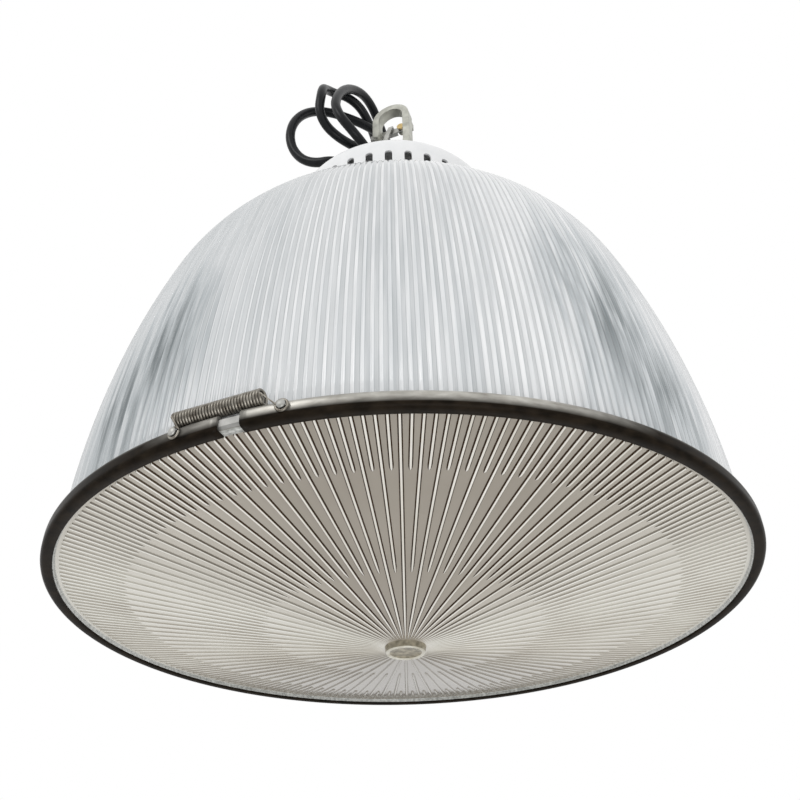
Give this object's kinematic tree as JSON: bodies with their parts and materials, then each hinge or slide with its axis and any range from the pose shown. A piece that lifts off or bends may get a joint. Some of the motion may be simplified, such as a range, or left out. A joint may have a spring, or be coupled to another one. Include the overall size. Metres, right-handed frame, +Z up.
{
  "type": "high bay light",
  "caption": "Hanging high bay light with a fluted translucent dome, ribbed lens, clamp band with a tension spring, vented white cap, latch hook and black flex.",
  "frame": {"origin": "bearing point of the hook, the highest point inside its bend, on the lamp's axis", "axes": "+Z up along the lamp's axis, -Y towards the front of the light, +X to the right seen from the front"},
  "size_m": [0.412, 0.412, 0.554],
  "materials": {
    "prismatic": "ribbed translucent acrylic",
    "lens": "ribbed translucent acrylic",
    "bronze": "satin bronze brown",
    "zinc": "zinc plated, satin",
    "steel": "bright spring steel",
    "white_paint": "gloss white",
    "brass": "satin",
    "seal": "matt",
    "gland_black": "fine matt",
    "porcelain": "glazed",
    "block": "matt",
    "jacket": "matt black",
    "core_brown": "matt",
    "core_blue": "matt",
    "core_green": "matt"
  },
  "bodies": {
    "light": {"dome": "prismatic", "lens": "lens", "rim_gasket": "seal", "bridge_plate": "zinc", "spring_studs": "zinc", "clamp_band": "bronze", "band_spring": "steel", "neck_gasket": "seal", "neck_ring": "zinc", "neck_screws": "zinc", "neck_nuts": "zinc", "cap": "white_paint", "hook": "zinc", "hook_washer": "zinc", "hook_nut": "zinc", "hook_lock_nut": "zinc", "latch_rivet": "brass", "latch_spring": "steel", "gland_body": "gland_black", "gland_nut": "gland_black", "gland_seal": "seal", "gland_lock_nut": "gland_black", "holder_bracket": "zinc", "holder_body": "porcelain", "holder_screws": "zinc", "screw_shell": "brass", "centre_contact": "brass", "terminal_block": "block", "terminal_screws": "zinc", "earth_screw": "brass", "lead_live": "core_brown", "lead_neutral": "core_blue", "lead_earth": "core_green", "tail_cores": "core_brown", "flex_tail": "jacket", "flex": "jacket", "flex_cores": "core_brown"},
    "latch": {"latch": "zinc"}
  },
  "joints": [
    {"name": "latch_pivot", "type": "hinge", "parent": "light", "child": "latch", "pos_m": [0.00658, -0.00239, -0.019], "axis": [-0.342, -0.9397, 0], "range_deg": [0, 30], "stiffness_Nm_per_rad": 0.02, "springref_deg": -17.19}
  ]
}
